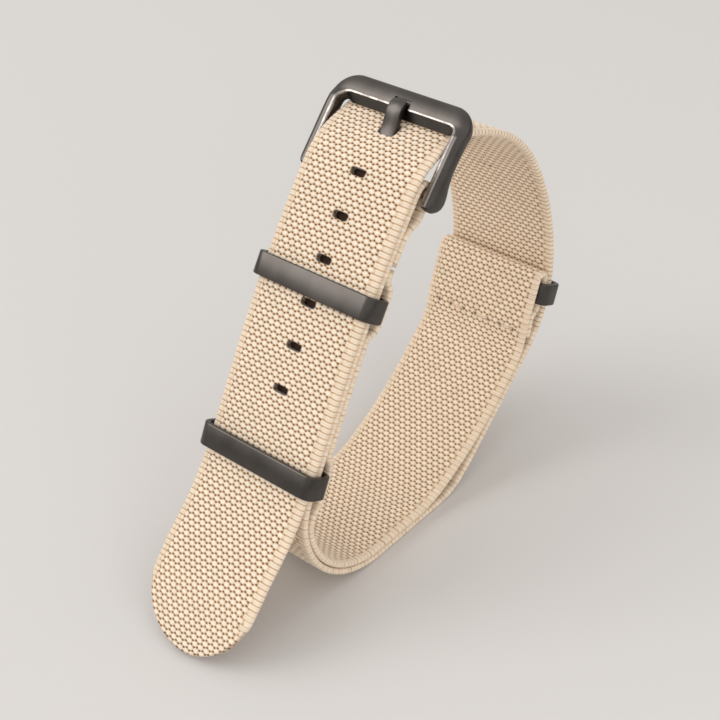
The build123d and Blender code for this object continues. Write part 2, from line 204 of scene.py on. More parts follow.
LONG_SPANS = [                       # length and turn of each run, from the tip of the tail
    (17.104, -14.0), (12.758, 17.0), (14.8, 0), (27.646, -8.8), (7.854, -36.0), (3.3, 0), (3.246, -31.0),
    (7.854, -10.0), (12.901, -33.6), (21.101, -30.0), (16.609, -48.8), (18.739, 0), (4.198, -6.5),
    (5.521, -33.3), (14.827, 0), (23.265, -86.0), (6.912, -36.0), (16.919, 0), (27.477, -8.8),
    (1.824, -9.17), (5.397, -170.83), (2.6, 0.85), (2.567, -36.78), (2.678, 38.36), (3.2, 1.04)]
HOLE_HALF_LENGTH = 0.56
HOLE_HALF_WIDTH = 1.3
CLOSED_HALF_LENGTH = 0.17            # of the holes round the back, which the bend has nearly closed
FIRST_HOLE = 40.8
HOLE_PITCH = 6.5
HOLES = [FIRST_HOLE + HOLE_PITCH * index for index in range(12)]
OPEN_HOLES = 6                       # before the one that the tongue is in
RIM_REACH = 0.4                      # the deleted faces' border is within this of a slot's outline
TONGUE_HOLE = HOLES[OPEN_HOLES]
# The tongue has pulled its hole into a slant passage: places and half lengths above and below, half width
TONGUE_SLOT = (81.3, 79.6, 1.2, 1.35, 1.45)


def lane_at(start, spans, along):
    """Place and heading, in radians, at distances along a lane of runs and bends."""
    along = np.asarray(along, float)
    x, z = start[:2]
    heading = math.radians(start[2])
    passed = 0.0
    out = np.zeros((3, *along.shape))
    for index, (length, turn) in enumerate(spans):
        turn = math.radians(turn)
        inside = (along >= passed) | (index == 0)
        share = (along - passed) / length
        if index < len(spans) - 1:
            share = np.minimum(share, 1)
        half = turn * share / 2
        chord = length * share * np.sinc(half / math.pi)
        out[0] = np.where(inside, x + chord * np.cos(heading + half), out[0])
        out[1] = np.where(inside, z + chord * np.sin(heading + half), out[1])
        out[2] = np.where(inside, heading + 2 * half, out[2])
        chord = length * float(np.sinc(turn / 2 / math.pi))
        x += chord * math.cos(heading + turn / 2)
        z += chord * math.sin(heading + turn / 2)
        heading += turn
        passed += length
    return out


def scatter(a, b):
    """A repeatable number from 0 to 1 for each pair of whole numbers."""
    mixed = np.sin(a * 12.9898 + b * 78.233) * 43758.5453
    return mixed - np.floor(mixed)


def weave(y, along, shift):
    """Height from 0 to 1 and tone of the weave at places on the flat strap. Shift moves it by rows."""
    best = np.full(y.shape, -1.0)
    pit = np.zeros(y.shape)
    tone = np.zeros(y.shape)
    row_at = np.floor(along / SEED_ROW)
    edge = np.abs(y)
    for step in (-1, 0, 1):
        row = row_at + step
        odd = np.mod(row + shift, 2)
        dv = along - (row + 0.5) * SEED_ROW
        seed = np.round(y / SEED_WIDTH - odd / 2)
        du = y - (seed + odd / 2) * SEED_WIDTH
        share = 2 * du / SEED_WIDTH
        half_height = FLOAT_HALF - FLOAT_TAPER * np.abs(share) - FLOAT_SLANT * share
        lift = 1 - FLOAT_FALL * (dv / half_height) ** 2
        crest = 1 - FLOAT_SIDE_FALL * np.abs(share) ** 3
        reach = HALF_WIDTH - np.where(odd > 0, RIB_LONG, RIB_SHORT) * np.where(y > 0, FAR_RIBS, 1)
        past = np.clip((edge - reach) / RIB_START, 0, 1)
        rib = 1 - 0.92 * (dv / RIB_HALF) ** 2 - 0.6 * (1 - past) ** 2
        groove = 0.3 * np.exp(-(dv / GROOVE_HALF) ** 2)
        in_rib = edge > reach
        height = np.where(in_rib, np.sqrt(np.clip(rib, 0, 1)) - groove, crest * np.clip(lift, 0, 1) ** 0.7)
        fade = np.where(in_rib, scatter(row, np.sign(y) * 77), scatter(row, seed))
        tone = np.where(height > best, fade, tone)
        best = np.maximum(best, height)
        # Above and below each float, its yarn dives between its neighbours and leaves a pit, which is
        # painted dark as shade
        for end in (-1, 1):
            off_pit = dv - end * (SEED_ROW / 2 + PIT_OFFSET)
            to_pit = np.hypot(du / PIT_REACH[0], off_pit / PIT_REACH[1])
            pit = np.maximum(pit, np.where(in_rib, 0, np.exp(-to_pit ** 2)))
    return np.clip(best - PIT_DEPTH * pit, 0, 1), tone


def slot_measure(along, y, centre, half_length, half_width):
    """1 on the outline of a punched slot with rounded corners, less inside it."""
    return ((np.abs(along - centre) / half_length) ** 4.5 + (np.abs(y) / half_width) ** 4.5) ** (1 / 4.5)


def punch(bm, slot):
    """Opens one slot through both faces of the flat strap and joins its two rims by a wall."""
    top, bottom, top_half, bottom_half, half_width = slot
    openings = ((top, top_half, 1), (bottom, bottom_half, -1))
    doomed = []
    for centre, half, side in openings:
        for face in bm.faces:
            mid = face.calc_center_median()
            if mid.z * side > 0 and abs(mid.x - centre) < half and abs(mid.y) < half_width:
                if slot_measure(mid.x, mid.y, centre, half, half_width) < 1:
                    doomed.append(face)
    bmesh.ops.delete(bm, geom=doomed, context="FACES")
    rims = []
    for centre, half, side in openings:
        rim = [e for e in bm.edges if e.is_boundary and e.verts[0].co.z * side > 0
               and all(abs(v.co.x - centre) < half + RIM_REACH for v in e.verts)
               and all(abs(v.co.y) < half_width + RIM_REACH for v in e.verts)]
        for vert in {v for e in rim for v in e.verts}:
            measure = slot_measure(vert.co.x, vert.co.y, centre, half, half_width)
            vert.co.x = centre + (vert.co.x - centre) / measure
            vert.co.y /= measure
        rims += rim
    bmesh.ops.bridge_loops(bm, edges=rims)


def webbing(name, start, spans, first, last, replaced=(), fine=1.0, slots=(), painted_shade_spots=(),
            tip=None, dips=(), cut_ends=(), fold=None):
    """A length of webbing from first to last along a lane, woven, punched and laid along it."""
    rows = max(8, round((last - first) / SEED_ROW * ROW_STEPS * fine))
    columns = 2 * round(HALF_WIDTH / SEED_WIDTH * FLOAT_STEPS * fine)
    around = 2 * (columns + EDGE_STEPS)
    bm = bmesh.new()
    bmesh.ops.create_grid(bm, x_segments=rows, y_segments=around, size=0.5)
    flat = HALF_WIDTH - EDGE_ROUND
    # The face that a fold stretches has more rows there, and more of the grid
    fold_first, fold_last = fold or (first, first)
    fold_length = max(fold_last - fold_first, SEED_ROW)
    stretched = (fold_last - fold_first) * (1 + FOLD_ROWS * SEED_ROW / fold_length)
    knots = np.array([0, fold_first - first, stretched, last - fold_last]).cumsum()
    # Once round the section: out over the top face, round one edge, back under, and round the other
    for vert in bm.verts:
        turn = round((vert.co.y + 0.5) * around)
        share = vert.co.x + 0.5
        along = float(np.interp(share * knots[-1], knots, (first, fold_first, fold_last, last)))
        if tip and along < tip:
            along = first + (tip - first) * (1 - math.cos(math.pi / 2 * (along - first) / (tip - first)))
        lap = turn % (columns + EDGE_STEPS)
        if lap <= columns:
            y = flat * (2 * lap / columns - 1)
            z = WEB / 2
        else:
            angle = math.pi / 2 - math.pi * (lap - columns) / EDGE_STEPS
            y = flat + EDGE_ROUND * math.cos(angle)
            z = WEB / 2 * math.sin(angle)
        if turn % around >= columns + EDGE_STEPS:
            y, z = -y, -z
        vert.co = (along, y, z)
    bmesh.ops.remove_doubles(bm, verts=bm.verts, dist=1e-5)
    for slot in slots:
        punch(bm, slot)
    ends = [e for e in bm.edges if e.is_boundary]
    bmesh.ops.holes_fill(bm, edges=ends, sides=0)
    bmesh.ops.recalc_face_normals(bm, faces=bm.faces)
    piece = place_mesh(name, bm, scale=1.0)

    # The flat strap is woven and then laid along its lane
    mesh = piece.data
    co = np.zeros(len(mesh.vertices) * 3)
    mesh.vertices.foreach_get("co", co)
    along, y, z = co.reshape(-1, 3).T.copy()
    side = np.clip((np.abs(y) - flat) / EDGE_ROUND, 0, 1)
    out_y = np.sign(y) * side
    out_z = np.sign(z) * np.sqrt(1 - side ** 2)
    if tip:
        y = y * np.sqrt(np.clip(1 - ((tip - np.minimum(along, tip)) / tip) ** 2, 0.0004, 1))
    under = z < 0
    through = np.clip((along - fold_first) / fold_length, 0, 1) if fold else 0 * along
    height, tone = weave(y, along + np.where(under, FOLD_ROWS * SEED_ROW * through, 0), under * 1)
    # This darkening is partly real and partly painted: brown where heat has melted the nylon, and painted
    # shade on the open holes' walls, under the holes and round the needle dips.
    scorch_and_shade = np.zeros(along.shape)
    sunk = np.zeros(along.shape)
    for top, bottom, top_half, bottom_half, half_width in slots:
        centre = np.where(z > 0, top, bottom)
        half = np.where(z > 0, top_half, bottom_half)
        beyond = np.maximum(slot_measure(along, y, centre, half, half_width) - 1, 0) * half
        # On the open holes the walls are darker than a scorch alone: painted shade inside the holes.
        brown = 0.05 if top_half == CLOSED_HALF_LENGTH else 0.8
        scorch_and_shade = np.maximum(scorch_and_shade, brown * np.exp(-(beyond / SCORCH_AND_SHADE_REACH) ** 2))
        sunk = np.maximum(sunk, np.exp(-(beyond / SUNK_REACH) ** 2))
    # Painted shade: the layer seen through an open hole above is painted dark there.
    for centre in painted_shade_spots:
        measure = slot_measure(along, y, centre, HOLE_HALF_LENGTH + SHADE_SPOT_MARGIN,
                               HOLE_HALF_WIDTH + SHADE_SPOT_MARGIN)
        scorch_and_shade = np.where((measure < 1) & (z > 0), 1.0, scorch_and_shade)
    if tip:
        rim = (1 - np.hypot(tip - np.minimum(along, tip), y) / tip) * tip
        melted = np.exp(-(np.maximum(rim, 0) / TIP_MELT) ** 2) * (along < tip * 0.75)
        scorch_and_shade = np.maximum(scorch_and_shade, 0.45 * melted)
        sunk = np.maximum(sunk, 0.8 * melted)
    for cut in cut_ends:
        melted = np.exp(-(np.abs(along - cut) / CUT_MELT) ** 2)
        scorch_and_shade = np.maximum(scorch_and_shade, 0.5 * melted)
        sunk = np.maximum(sunk, 0.8 * melted)
    pressed = np.zeros(along.shape)
    for dip_along, dip_y in dips:
        near = np.hypot(along - dip_along, y - dip_y)
        pressed = np.maximum(pressed, np.exp(-(near / DIP_REACH) ** 2))
        # The middle of each needle dip is painted dark as painted shade.
        scorch_and_shade = np.maximum(scorch_and_shade, 0.85 * np.exp(-(near / DIP_SHADE_REACH) ** 2))
    depth = RELIEF * (1 - 0.5 * side) * (1 - height) * (1 - 0.85 * sunk) - CREST_PROUD
    depth += MELT_DEPTH * sunk + DIP_DEPTH * pressed * (np.abs(out_z) > 0.5)
    y = y - out_y * depth
    z = z - out_z * depth
    x, up, heading = lane_at(start, spans, along)
    inward = WEB / 2 - z
    final = np.stack([x + inward * np.sin(heading), y, up - inward * np.cos(heading)], 1) * MM
    mesh.vertices.foreach_set("co", final.ravel())
    for key, values in (("relief", height), ("tone", tone), ("scorch_and_shade", scorch_and_shade)):
        layer = mesh.attributes.new(key, "FLOAT", "POINT")
        layer.data.foreach_set("value", values.astype(np.float32))
    chart = mesh.uv_layers.new(name="webbing_cm")
    corner = np.zeros(len(mesh.loops), np.int32)
    mesh.loops.foreach_get("vertex_index", corner)
    chart.data.foreach_set("uv", np.stack([y[corner], along[corner]], 1).astype(np.float32).ravel() / UV_MM)
    mesh.update()
    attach(piece, "strap")
    if replaced:
        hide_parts(*replaced)
    return piece


# Nylon yarn, dyed sand. Its colour follows the weave's height: the gaps between the floats are painted
# brown as painted shade, and the floats' crests nearly cream as a painted highlight. The fine grain is the
# lie of the filaments in each float, about 0.09 mm apart.
sand, shader, tree = new_finish("woven_nylon_sand", "#E3CBB0", 0.82)
shader.inputs["Sheen Weight"].default_value = 0.25
shader.inputs["Sheen Roughness"].default_value = 0.5
shader.inputs["Specular IOR Level"].default_value = 0.3
relief = add_node(tree, "ShaderNodeAttribute", {"attribute_name": "relief"})
tone = add_node(tree, "ShaderNodeAttribute", {"attribute_name": "tone"})
scorch_and_shade = add_node(tree, "ShaderNodeAttribute", {"attribute_name": "scorch_and_shade"})
chart = add_node(tree, "ShaderNodeUVMap", {"uv_map": "webbing_cm"})
# The colour follows the height: painted shade in the low gaps and pits, a painted highlight on the crests.
relief_light_ramp = add_node(tree, "ShaderNodeValToRGB", links={"Fac": relief.outputs["Fac"]})
stops = relief_light_ramp.color_ramp.elements
stops[0].position = 0.02
stops[0].color = linear("#36200F")
stops[1].position = 0.97
stops[1].color = linear("#F8EBD9")
for position, colour in ((0.22, "#6A4930"), (0.44, "#B9946F"), (0.64, "#E3C9A9")):
    stop = stops.new(position)
    stop.color = linear(colour)
toned = add_node(tree, "ShaderNodeMix", {"data_type": "RGBA", "blend_type": "MULTIPLY", "Factor": 0.07},
                 {6: relief_light_ramp.outputs["Color"], 7: tone.outputs["Color"]})
fibre_chart = add_node(tree, "ShaderNodeMapping", {"Scale": (60, 110, 60)}, {"Vector": chart.outputs["UV"]})
fibres = add_node(tree, "ShaderNodeTexNoise", {"Scale": 1.0, "Detail": 2.0, "Roughness": 0.6},
                  {"Vector": fibre_chart.outputs["Vector"]})
fibre_ramp = add_node(tree, "ShaderNodeMapRange",
                      {"From Min": 0.3, "From Max": 0.7, "To Min": 0.86, "To Max": 1.04},
                      {"Value": fibres.outputs["Fac"]})
fibred = add_node(tree, "ShaderNodeMix", {"data_type": "RGBA", "blend_type": "MULTIPLY", "Factor": 1.0},
                  {6: toned.outputs[2], 7: fibre_ramp.outputs["Result"]})
# Dark brown mixed in: real scorch of melted nylon, and painted shade in the holes, under them and in the
# needle dips.
scorched_and_shaded = add_node(tree, "ShaderNodeMix", {"data_type": "RGBA", 7: linear("#3A2114")},
                   {0: scorch_and_shade.outputs["Fac"], 6: fibred.outputs[2]})
tree.links.new(scorched_and_shaded.outputs[2], shader.inputs["Base Color"])
bump = add_node(tree, "ShaderNodeBump", {"Strength": 0.35, "Distance": 0.00006},
                {"Height": fibres.outputs["Fac"]})
tree.links.new(bump.outputs["Normal"], shader.inputs["Normal"])

LONG_LENGTH = sum(length for length, turn in LONG_SPANS)
UNDER_TAIL = 190.89                  # from a place on the tail to the place below it, along the strap
# Through an open hole the layer below is seen in deep shade, so it is marked dark there
parts = (("tail_tip", 0, 34, 1.4), ("tail_middle", 34, 69, 1.4), ("tail_top", 69, 104, 1.4),
         ("back", 104, 170, 1.0), ("bottom", 170, 241, 0.85), ("under", 241, None, 0.7))
for part, first_row, last_row, fine in parts:
    first = first_row * SEED_ROW
    last = last_row * SEED_ROW if last_row else LONG_LENGTH
    slots = []
    for hole in HOLES:
        half = HOLE_HALF_LENGTH if hole < TONGUE_HOLE else CLOSED_HALF_LENGTH
        slot = TONGUE_SLOT if hole == TONGUE_HOLE else (hole, hole, half, half, HOLE_HALF_WIDTH)
        if first < hole < last:
            slots.append(slot)
    painted_shade_spots = [hole + UNDER_TAIL for hole in HOLES[:OPEN_HOLES] if first < hole + UNDER_TAIL < last]
    long_piece = webbing(f"long_strap_{part}", LONG_START, LONG_SPANS, first, last, ("long_strap",), fine,
                         slots, painted_shade_spots, tip=None if first else HALF_WIDTH,
                         cut_ends=() if last_row else (LONG_LENGTH,))
    long_piece.data.materials.append(sand)

# The short strap: the same webbing. It folds round the end keeper's bar, lies on the inside of the long
# strap's lower run and front, and passes over the inner bars of the other two keepers in sewn pockets.

SHORT_START = (31.421, 19.231, -288.91)
SHORT_SPANS = [
    (2.6, 0), (0.723, -6.0), (1.314, -47.06), (1.314, 47.06), (4.1, 0), (1.759, 180), (2.05, 0), (4.678, 0),
    (0.733, 6.0), (2.6, 0), (4.883, -31.09), (5.209, 0), (16.755, -16.0), (8.378, -24.0), (8.288, 0),
    (21.614, -86.0), (4.958, -56.81), (0.545, 20.81), (4.977, 0), (1.489, 56.86), (1.489, -56.86),
    (10.001, 0), (6.943, -2.24), (1.645, -62.83), (1.622, 61.97), (4.013, -1.31), (1.622, 61.97),
    (1.645, -62.83), (1.229, -0.4)]
SHORT_LENGTH = sum(length for length, turn in SHORT_SPANS)
SHORT_FOLD_START = sum(length for length, turn in SHORT_SPANS[:5])
SHORT_FOLD = (SHORT_FOLD_START, SHORT_FOLD_START + SHORT_SPANS[5][0])
STITCH_PITCH = 2.5
STITCH_COUNT = 7
END_FOLD_STITCHES = 20.571
SHORT_SEAMS = (END_FOLD_STITCHES, 101.55, 116.3, 128.55)    # places of the needle rows along this strap
needles = [STITCH_PITCH * (index - (STITCH_COUNT - 1) / 2) for index in range(STITCH_COUNT)]
short_dips = [(along, y) for along in SHORT_SEAMS for y in needles]
SHORT_CUT = 78 * SEED_ROW            # between its two pieces
for part, first, last, fold in (("fold", 0, SHORT_CUT, SHORT_FOLD),
                                ("front", SHORT_CUT, SHORT_LENGTH, None)):
    dips = [dip for dip in short_dips if first < dip[0] < last]
    short_piece = webbing(f"short_strap_{part}", SHORT_START, SHORT_SPANS, first, last, ("short_strap",),
                          0.95, dips=dips, cut_ends=(0, SHORT_LENGTH), fold=fold)
    short_piece.data.materials.append(sand)

# The rows of stitching: bonded nylon thread, sewn to and fro through both layers and pulled into the
# weave. Each row is a line of stitches, on the one face and on the other by turns, that dip in at each
# needle hole.

THREAD_RADIUS = 0.2
THREAD_PROUD = 0.09                  # how far a stitch's middle stands out of the face
STITCH_STEPS = 16
STITCH_LENGTH = 0.97                 # share of the pitch
NEEDLE_DIP = 0.75                    # how far a stitch's ends go into the webbing
PLY_SWELL = 0.13                     # the two plies swell the thread by this share, winding round it
PLY_TURN = 9
LAYER = 1.1                          # from one layer of webbing to the next
thread, shader, tree = new_finish("bonded_nylon_thread", "#DCC3A4", 0.7)
shader.inputs["Sheen Weight"].default_value = 0.2
along_thread = add_node(tree, "ShaderNodeTexCoord")
strand_chart = add_node(tree, "ShaderNodeMapping", {"Scale": (4000, 9000, 4000), "Rotation": (0, 0, 0.6)},
                        {"Vector": along_thread.outputs["Object"]})
strands = add_node(tree, "ShaderNodeTexNoise", {"Scale": 1.0, "Detail": 1.0},
                   {"Vector": strand_chart.outputs["Vector"]})
strand_ramp = add_node(tree, "ShaderNodeValToRGB", links={"Fac": strands.outputs["Fac"]})
strand_ramp.color_ramp.elements[0].position = 0.3
strand_ramp.color_ramp.elements[0].color = linear("#B5977A")
strand_ramp.color_ramp.elements[1].position = 0.65
strand_ramp.color_ramp.elements[1].color = linear("#F0DCC2")
tree.links.new(strand_ramp.outputs["Color"], shader.inputs["Base Color"])
bump = add_node(tree, "ShaderNodeBump", {"Strength": 0.4, "Distance": 0.00005},
                {"Height": strands.outputs["Fac"]})
tree.links.new(bump.outputs["Normal"], shader.inputs["Normal"])


def stitch_row(row_name, start, spans, along, near, far):
    """Stitches across a lane: on the face at depth near and on the one at depth far, by turns."""
    x, up, heading = (float(value) for value in lane_at(start, spans, along))
    row = bmesh.new()
    for index in range(STITCH_COUNT - 1):
        before = set(row.verts)
        ring = bmesh.ops.create_circle(row, cap_ends=False, segments=10, radius=THREAD_RADIUS,
                                       matrix=Matrix.Translation((0, -STITCH_PITCH / 2, 0))
                                       @ Matrix.Rotation(math.pi / 2, 4, "X"))["verts"]
        edges = list({e for vert in ring for e in vert.link_edges})
        bmesh.ops.spin(row, geom=ring + edges, cent=(0, 0, 0), axis=(0, 1, 0), angle=0,
                       dvec=(0, STITCH_PITCH / STITCH_STEPS, 0), steps=STITCH_STEPS)
        verts = [vert for vert in row.verts if vert not in before]
        middle = (needles[index] + needles[index + 1]) / 2
        face = -1 if index % 2 else 1
        depth = near if face < 0 else far
        for vert in verts:
            share = 2 * vert.co.y / STITCH_PITCH
            angle = math.atan2(vert.co.z, vert.co.x)
            swell = 1 + PLY_SWELL * math.cos(2 * angle + PLY_TURN * share)
            sink = THREAD_PROUD - NEEDLE_DIP * abs(share) ** 5
            local_x = vert.co.x * swell
            local_in = depth + face * (sink + vert.co.z * swell)
            vert.co = (x + local_x * math.cos(heading) + local_in * math.sin(heading),
                       middle + vert.co.y * STITCH_LENGTH,
                       up + local_x * math.sin(heading) - local_in * math.cos(heading))
    bmesh.ops.holes_fill(row, edges=[e for e in row.edges if e.is_boundary], sides=0)
    bmesh.ops.recalc_face_normals(row, faces=row.faces)
    stitches = place_mesh(f"stitches_{row_name}", row, "strap", (f"stitching_{row_name}",))
    stitches.data.materials.append(thread)


stitch_row("end_fold", SHORT_START, SHORT_SPANS, END_FOLD_STITCHES, -LAYER, WEB)
# These four lie below the tail, in the two layers that it covers, and are placed along it
for row_name, along in (("buckle_fold", 64.043), ("short_top", 61.821), ("keeper_upper", 50.591),
                        ("keeper_lower", 35.762)):
    stitch_row(row_name, LONG_START, LONG_SPANS, along, LAYER, 2 * LAYER + WEB)
stitch_row("front", LONG_START, LONG_SPANS, 210.624, 0, LAYER + WEB)

# The buckle's frame: cast zinc, bead blasted and plated gunmetal. It is one bar and two arms, with a
# rounded chamfer round its window that is worn bright by the strap and also carries a painted highlight.

gunmetal, shader, tree = new_finish("satin_gunmetal_plating", "#514D4A", 0.34, 1.0)
metal_place = add_node(tree, "ShaderNodeTexCoord")
grit = add_node(tree, "ShaderNodeTexNoise", {"Scale": 5200.0, "Detail": 2.0},
                {"Vector": metal_place.outputs["Object"]})
clouds = add_node(tree, "ShaderNodeTexNoise", {"Scale": 260.0, "Detail": 3.0},
                  {"Vector": metal_place.outputs["Object"]})
rough_range = add_node(tree, "ShaderNodeMapRange", {"To Min": 0.29, "To Max": 0.38},
                       {"Value": clouds.outputs["Fac"]})
tree.links.new(rough_range.outputs["Result"], shader.inputs["Roughness"])
plating = add_node(tree, "ShaderNodeValToRGB", links={"Fac": clouds.outputs["Fac"]})
plating.color_ramp.elements[0].position = 0.35
plating.color_ramp.elements[0].color = linear("#4F4B48")
plating.color_ramp.elements[1].position = 0.7
plating.color_ramp.elements[1].color = linear("#595552")
tree.links.new(plating.outputs["Color"], shader.inputs["Base Color"])
bump = add_node(tree, "ShaderNodeBump", {"Strength": 0.12, "Distance": 0.00002},
                {"Height": grit.outputs["Fac"]})
tree.links.new(bump.outputs["Normal"], shader.inputs["Normal"])

# Where the strap rubs the window's chamfer, the dark plating is polished through to a paler metal; the
# paler colour is also a painted highlight along the window's edge.
highlit_worn_edge, shader, tree = new_finish("chamfer_wear_and_highlight", "#989390", 0.27, 1.0)
worn_place = add_node(tree, "ShaderNodeTexCoord")
scuffs = add_node(tree, "ShaderNodeTexNoise", {"Scale": 900.0, "Detail": 3.0},
                  {"Vector": worn_place.outputs["Object"]})
highlit_wear_ramp = add_node(tree, "ShaderNodeValToRGB", links={"Fac": scuffs.outputs["Fac"]})
highlit_wear_ramp.color_ramp.elements[0].position = 0.3
highlit_wear_ramp.color_ramp.elements[0].color = linear("#75706D")
highlit_wear_ramp.color_ramp.elements[1].position = 0.6
highlit_wear_ramp.color_ramp.elements[1].color = linear("#A8A39F")
tree.links.new(highlit_wear_ramp.outputs["Color"], shader.inputs["Base Color"])

PIN = Vector((7.8, 0, 57.352))       # the spring bar's middle
ARM_HEADING = math.radians(46)
ALONG_ARM = Vector((math.cos(ARM_HEADING), 0, math.sin(ARM_HEADING)))
OFF_ARM = Vector((-math.sin(ARM_HEADING), 0, math.cos(ARM_HEADING)))
WINDOW_HALF = 10.4
FRAME_HALF = 12.3
ARM_WIDTH = FRAME_HALF - WINDOW_HALF
BAR_START = 9.9                      # from the pin
BAR_END = 12.9
INNER_CORNER = 1.6
OUTER_CORNER = 3.8
EYE_RADIUS = 2.2
CHAMFER = 0.28
EYE_ROUND = 1.3                      # length over which the arms' ends are rounded in plan
SKIRT = 1.2                          # how far the bar's inner wall slopes in under the chamfer
PIVOT_HOLE_RADIUS = 0.45
PIVOT_HOLE_END = 11.7                # from the middle of the buckle
PIVOT_HOLE_DEPTH = 2.0
NOTCH_LOW = (5.5, -1.62, -0.16)      # corners of the notch, along the arms, across and outwards
NOTCH_HIGH = (11.42, 1.5, 4.0)
# Side view: places along the arms from the pin, and the height of the top and of the underside there
top_line = np.array([(0, 1.2), (7.6, 1.2), (8.7, 1.08), (9.9, 0.5), (11.4, 0.2), (12.9, -0.15)])
under_line = np.array([(0, -2.2), (0.8, -2.05), (1.6, -1.72), (2.6, -1.38), (3.8, -1.16), (5.2, -1.08),
                       (6.8, -1.12), (8.2, -1.3), (9.3, -1.44), (12.9, -1.44)])


def in_buckle(along, across, off):
    """A point given along the arms from the pin, across the strap, and outwards."""
    return PIN + along * ALONG_ARM + Vector((0, across, 0)) + off * OFF_ARM


def buckle_heights(along):
    """Top and underside of the frame's side view."""
    eye = math.sqrt(max(EYE_RADIUS ** 2 - min(along, 0) ** 2, 0))
    top = min(float(np.interp(along, *top_line.T)), eye)
    return top, max(float(np.interp(along, *under_line.T)), -eye) if along > 0 else -eye


def frame_stations():
    """Inner point, outward direction, width and share of bar of each section, from eye to eye."""
    stations = []
    for turn in np.linspace(0, math.pi / 2, 16):
        along = -EYE_RADIUS * math.cos(turn)
        round_off = 1 - math.sqrt(1 - max(1 - (along + EYE_RADIUS) / EYE_ROUND, 0) ** 2 * 0.9)
        inner = WINDOW_HALF + 0.25 * ARM_WIDTH * round_off
        stations.append((along, inner, 0.0, 1.0, ARM_WIDTH * (1 - 0.7 * round_off), 0.0))
    corner = (BAR_START - INNER_CORNER, WINDOW_HALF - INNER_CORNER)
    for along in np.linspace(0.5, corner[0] - 0.3, 17):
        stations.append((float(along), WINDOW_HALF, 0.0, 1.0, ARM_WIDTH, 0.0))
    centre = (BAR_END - OUTER_CORNER, FRAME_HALF - OUTER_CORNER)
    for turn in np.linspace(0, math.pi / 2, 19):
        way = (math.sin(turn), math.cos(turn))
        off = (corner[0] - centre[0], corner[1] - centre[1])
        half_b = off[0] * way[0] + off[1] * way[1]
        reach = -half_b + math.sqrt(half_b ** 2 - off[0] ** 2 - off[1] ** 2 + OUTER_CORNER ** 2)
        if corner[0] + reach * way[0] < centre[0]:
            reach = (FRAME_HALF - corner[1]) / way[1]
        if corner[1] + reach * way[1] < centre[1]:
            reach = (BAR_END - corner[0]) / way[0]
        share = (1 - math.cos(2 * turn)) / 2
        inner = (corner[0] + INNER_CORNER * way[0], corner[1] + INNER_CORNER * way[1])
        stations.append((*inner, *way, reach - INNER_CORNER, share))
    for across in np.linspace(corner[1], 0, 14)[1:]:
        stations.append((BAR_START, float(across), 1.0, 0.0, BAR_END - BAR_START, 1.0))
    mirrored = [(along, -across, way_along, -way_across, width, share)
                for along, across, way_along, way_across, width, share in stations]
    return stations + mirrored[-2::-1]


def frame_section(along, across, way_along, way_across, width, bar_share):
    """Points round one section: chamfered inside, rounded outside, its top slightly domed."""
    top, under = buckle_heights(along)
    chamfer = min(CHAMFER, 0.3 * (top - under))
    skirt = SKIRT * bar_share
    inner_floor = under + min(0.42, 0.2 * (top - under)) * (1 - bar_share) + 0.8 * bar_share
    tight = min(1, width / ARM_WIDTH)
    rubbed = chamfer + 0.22 * (1 - bar_share) * tight
    # Distance from the inner face, drop from the top or rise from the underside, and which of the two
    points = [(chamfer, 0.0, 1), (rubbed + 0.02, -0.01, 1), (0.35 * width, -0.06, 1),
              (0.55 * width, -0.03, 1), (width - 0.75, 0.06, 1), (width - 0.4, 0.2, 1),
              (width - 0.12, 0.48, 1), (width, 0.95, 1),
              (width, 0.9, -1), (width - 0.12, 0.42, -1), (width - 0.42, 0.12, -1), (width - 0.85, 0.0, -1),
              (0.3 + 0.4 * bar_share, 0.0, -1)]
    loop = []
    for out, drop, side in points:
        out = width - (width - out) * tight if out > 0.5 * width else out
        at = along + out * way_along
        high, low = buckle_heights(at)
        scale = min(1, (high - low) / 2.4)
        off = high - drop * scale if side > 0 else low + drop * scale
        loop.append(in_buckle(at, across + out * way_across, off))
    # The inner face goes up from its toe at the underside to the chamfer that ends it
    toe = inner_floor - 0.22 * bar_share - 0.1 * (1 - bar_share) * min(1, top - under)
    for out, off in ((0.06 - 0.95 * skirt, toe), (-skirt, inner_floor), (0.0, top - 1.1 * chamfer),
                     (0.27 * chamfer, top - 0.3 * chamfer)):
        loop.append(in_buckle(along + out * way_along, across + out * way_across, off))
    return loop


bm = bmesh.new()
loops = [[bm.verts.new(point) for point in frame_section(*station)] for station in frame_stations()]
for before, after in zip(loops, loops[1:]):
    for index in range(len(before)):
        other = (index + 1) % len(before)
        face = bm.faces.new((before[index], before[other], after[other], after[index]))
        # The chamfer's faces take the paler metal: wear, and a painted highlight along the window's edge.
        face.material_index = int(index >= len(before) - 2 or index == 0)
for loop in (loops[0], loops[-1]):
    bm.faces.new(loop)
bmesh.ops.remove_doubles(bm, verts=bm.verts, dist=1e-4)
bmesh.ops.recalc_face_normals(bm, faces=bm.faces)
buckle = place_mesh("buckle_frame_cast", bm, "frame", ("buckle_frame",))
buckle.data.materials.append(gunmetal)
buckle.data.materials.append(highlit_worn_edge)


def keep_sharp(bm, degrees):
    """Marks the edges that turn by more than that as sharp, and the others as smooth."""
    for edge in bm.edges:
        edge.smooth = len(edge.link_faces) == 2 and edge.calc_face_angle(0) < math.radians(degrees)


